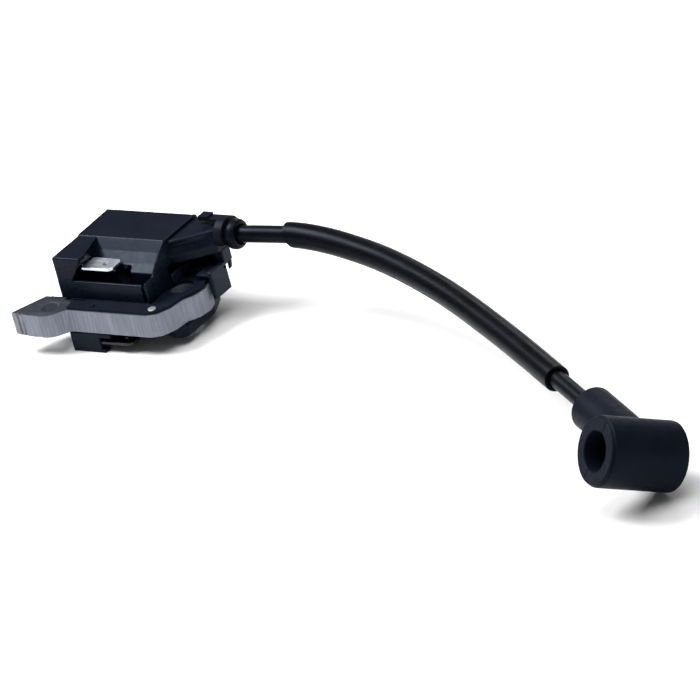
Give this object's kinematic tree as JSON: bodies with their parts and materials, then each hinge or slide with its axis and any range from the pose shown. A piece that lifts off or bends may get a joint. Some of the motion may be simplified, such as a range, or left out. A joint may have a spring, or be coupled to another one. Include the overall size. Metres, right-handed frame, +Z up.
{
  "type": "ignition coil",
  "caption": "Flywheel ignition module on a laminated core, with a sleeved high-tension lead ending in a right-angle spark plug boot.",
  "frame": {"origin": "centre of the front mounting hole, on the underside of the laminated core", "axes": "+Z up the mounting holes, +X along the front of the core towards the lead, +Y towards the flywheel"},
  "size_m": [0.248, 0.1065, 0.0297],
  "materials": {
    "core_steel": "sheared and pressed electrical steel, blue-grey, vertical shear marks on the edge",
    "weld_steel": "dark weld bead",
    "housing_plastic": "satin moulded plastic, blue-black",
    "case_plastic": "satin moulded plastic, blue-black",
    "bracket_plastic": "satin moulded plastic, blue-black",
    "flange_plastic": "matte moulded plastic",
    "terminal_metal": "bright nickel plate",
    "bobbin_plastic": "natural glass-filled nylon",
    "enamelled_wire": "enamelled copper, wound",
    "potting_resin": "cast epoxy",
    "board_laminate": "solder-masked laminate",
    "capacitor_coat": "dipped epoxy coat",
    "component_epoxy": "moulded epoxy",
    "resistor_coat": "lacquer coat",
    "contact_brass": "turned brass",
    "grommet_rubber": "moulded rubber, slightly shiny",
    "clip_plastic": "moulded nylon",
    "lead_jacket": "extruded jacket, glossy black",
    "conductor_copper": "stranded copper",
    "sleeve_rubber": "satin extruded sleeve with fine streaks",
    "boot_rubber": "matte moulded rubber, blue-black",
    "spring_steel": "drawn spring wire"
  },
  "bodies": {
    "root": {"lamination_core": "core_steel", "core_welds": "weld_steel", "ground_rivet": "terminal_metal", "base_flange": "flange_plastic", "upper_housing": "housing_plastic", "coil_case": "case_plastic", "end_bracket": "bracket_plastic", "terminal_bracket": "case_plastic", "stop_tab": "terminal_metal", "ground_tab": "terminal_metal", "coil_former": "bobbin_plastic", "charge_winding": "enamelled_wire", "trigger_winding": "enamelled_wire", "primary_winding": "enamelled_wire", "secondary_former": "bobbin_plastic", "secondary_winding": "enamelled_wire", "potting_resin": "potting_resin", "circuit_board": "board_laminate", "capacitor": "capacitor_coat", "thyristor": "component_epoxy", "diodes": "component_epoxy", "resistor": "resistor_coat", "ht_contact": "contact_brass", "lead_grommet": "grommet_rubber", "lead_clip": "clip_plastic", "lead_insulation": "lead_jacket", "lead_conductor": "conductor_copper", "lead_sleeve": "sleeve_rubber", "plug_boot": "boot_rubber", "plug_spring": "spring_steel"}
  },
  "joints": []
}
